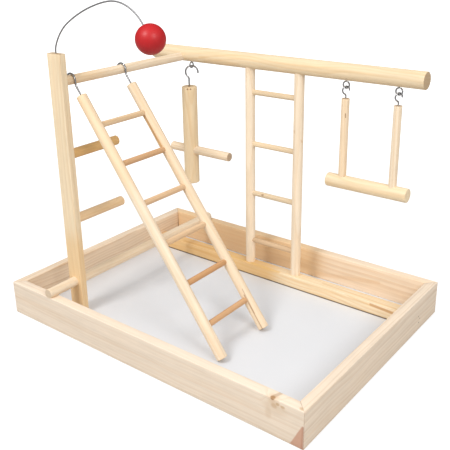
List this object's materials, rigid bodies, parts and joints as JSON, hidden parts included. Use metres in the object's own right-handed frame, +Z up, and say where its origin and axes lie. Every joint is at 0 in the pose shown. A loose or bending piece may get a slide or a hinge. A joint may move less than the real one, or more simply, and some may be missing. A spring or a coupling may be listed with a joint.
{
  "type": "parrot play stand",
  "caption": "Wooden tabletop play stand for a small parrot: walled tray with a post, dowel beam and perches, two ladders, a swing, a hanging bar and a ball on a wire arm.",
  "frame": {"origin": "on the surface the tray stands on, at the middle of the tray", "axes": "+X along the tray's long side with the tall post at -X, +Y from the front to the back, +Z up"},
  "size_m": [0.53, 0.386, 0.4819],
  "materials": {
    "tray_pine": "planed pale pine, unfinished",
    "post_pine": "planed pale pine, unfinished",
    "strip_pine": "planed yellow pine, unfinished",
    "floor_board": "thin board with a pale grey-white sealed face",
    "beam_dowel": "sanded hardwood dowel",
    "rail_dowel": "sanded hardwood dowel",
    "rung_dowel": "sanded dowel of a redder wood",
    "red_lacquer": "turned wooden ball in glossy red lacquer",
    "steel_wire": "plated steel wire, darkened",
    "nail_steel": "bright wire nails",
    "screw_steel": "zinc-plated countersunk screws"
  },
  "bodies": {
    "stand": {"base_strip": "strip_pine", "base_strip_screws": "screw_steel", "corner_nails": "nail_steel", "floor_panel": "floor_board", "foot_perch": "rail_dowel", "foot_perch_pins": "nail_steel", "hanging_bar_eye": "steel_wire", "lower_side_perch": "rail_dowel", "main_beam": "beam_dowel", "panel_pins": "nail_steel", "post_screws": "screw_steel", "standing_ladder_left_rail": "rail_dowel", "standing_ladder_right_rail": "rail_dowel", "standing_ladder_rung_1": "rung_dowel", "standing_ladder_rung_2": "rung_dowel", "standing_ladder_rung_3": "rung_dowel", "standing_ladder_rung_4": "rung_dowel", "swing_left_eye": "steel_wire", "swing_right_eye": "steel_wire", "tall_post": "post_pine", "top_perch": "rail_dowel", "tray_back_wall": "tray_pine", "tray_front_wall": "tray_pine", "tray_left_wall": "tray_pine", "tray_right_wall": "tray_pine", "upper_side_perch": "rail_dowel"},
    "leaning_ladder": {"leaning_ladder_back_hook": "steel_wire", "leaning_ladder_back_rail": "rail_dowel", "leaning_ladder_front_hook": "steel_wire", "leaning_ladder_front_rail": "rail_dowel", "leaning_ladder_rung_1": "rung_dowel", "leaning_ladder_rung_2": "rung_dowel", "leaning_ladder_rung_3": "rung_dowel", "leaning_ladder_rung_4": "rung_dowel", "leaning_ladder_rung_5": "rung_dowel", "leaning_ladder_rung_6": "rung_dowel"},
    "swing": {"swing_left_hook": "steel_wire", "swing_left_rod": "rail_dowel", "swing_perch": "beam_dowel", "swing_right_hook": "steel_wire", "swing_right_rod": "rail_dowel"},
    "hanging_bar_set": {"cross_perch": "rail_dowel", "hanging_bar": "beam_dowel", "hanging_bar_hook": "steel_wire"},
    "ball_arm": {"ball_arm_wire": "steel_wire", "red_ball": "red_lacquer"}
  },
  "joints": [
    {"name": "ladder_lift", "type": "hinge", "parent": "stand", "child": "leaning_ladder", "pos_m": [-0.179, -0.064, 0.366], "axis": [0, -1, 0], "range_deg": [0, 45]},
    {"name": "swing_hang", "type": "hinge", "parent": "stand", "child": "swing", "pos_m": [0.166, 0.133, 0.3464], "axis": [1, 0, 0], "range_deg": [-40, 40]},
    {"name": "hanging_bar_swing", "type": "hinge", "parent": "stand", "child": "hanging_bar_set", "pos_m": [-0.165, 0.133, 0.3474], "axis": [0, 1, 0], "range_deg": [-12, 30]},
    {"name": "ball_arm_turn", "type": "hinge", "parent": "stand", "child": "ball_arm", "pos_m": [-0.179, -0.1355, 0.406], "axis": [0, 0, 1], "continuous": true}
  ]
}
